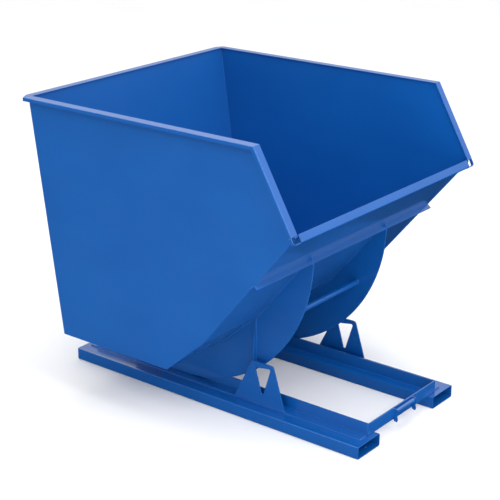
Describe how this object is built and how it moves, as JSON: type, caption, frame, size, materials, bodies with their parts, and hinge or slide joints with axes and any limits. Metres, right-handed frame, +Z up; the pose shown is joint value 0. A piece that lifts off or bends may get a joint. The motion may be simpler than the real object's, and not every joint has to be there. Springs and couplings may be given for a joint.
{
  "type": "self-dumping tipping hopper",
  "caption": "Open steel tipping hopper whose bin rolls forward on two rockers along a forklift-pocket base to dump its load, held level by a sprung latch.",
  "frame": {"origin": "on the ground at the middle of the base, under the centre of the whole hopper's box", "axes": "+X towards the dumping lip, +Y to the hopper's left, +Z up"},
  "size_m": [2.03, 1.712, 1.7],
  "materials": {
    "blue_paint": "gloss enamel over welded steel, lightly rippled",
    "blue_paint_inside": "gloss enamel over welded steel, satin from overspray",
    "zinc_steel": "bright zinc plate",
    "grip_vinyl": "dipped vinyl, fine pebbled"
  },
  "bodies": {
    "base": {"fork_tube_right": "blue_paint", "fork_tube_left": "blue_paint", "guide_rail_right": "blue_paint", "guide_rail_left": "blue_paint", "rocker_guard_right": "blue_paint", "rocker_guard_left": "blue_paint", "front_crossbar": "blue_paint", "rear_crossbar": "blue_paint", "latch_crossbar": "blue_paint", "tie_sleeve": "blue_paint", "tie_ear_right": "blue_paint", "tie_ear_left": "blue_paint", "latch_shelf": "blue_paint", "latch_ear_right": "blue_paint", "latch_ear_left": "blue_paint", "latch_pin": "zinc_steel", "latch_spring": "zinc_steel", "spring_post": "blue_paint"},
    "bin": {"side_plate_right": "blue_paint", "side_plate_left": "blue_paint", "floor_sheet": "blue_paint_inside", "chute_sheet": "blue_paint_inside", "back_sheet": "blue_paint_inside", "side_rim_right": "blue_paint", "side_rim_left": "blue_paint", "back_rim": "blue_paint", "lip_rim": "blue_paint", "lip_corner_strap_right": "blue_paint", "lip_corner_strap_left": "blue_paint", "rocker_right": "blue_paint", "rocker_left": "blue_paint", "rocker_rib_right": "blue_paint", "rocker_rib_left": "blue_paint", "rocker_cross_tube": "blue_paint", "rocker_tie_plate": "blue_paint", "chute_stiffener_right": "blue_paint", "chute_stiffener_middle": "blue_paint", "chute_stiffener_left": "blue_paint", "catch_bar": "blue_paint", "catch_lug_right": "blue_paint", "catch_lug_left": "blue_paint"},
    "latch": {"latch_hook": "blue_paint", "latch_handle": "blue_paint", "handle_grip": "grip_vinyl"}
  },
  "joints": [
    {"name": "bin_roll", "type": "hinge", "parent": "base", "child": "bin", "pos_m": [0.2425, 0, 0.1826], "axis": [0, 1, 0], "range_deg": [0, 66]},
    {"name": "latch_pivot", "type": "hinge", "parent": "base", "child": "latch", "pos_m": [-0.775, 0, 0.136], "axis": [0, -1, 0], "range_deg": [0, 20], "stiffness_Nm_per_rad": 15, "springref_deg": -17.19, "deforming": ["latch_spring"]}
  ]
}
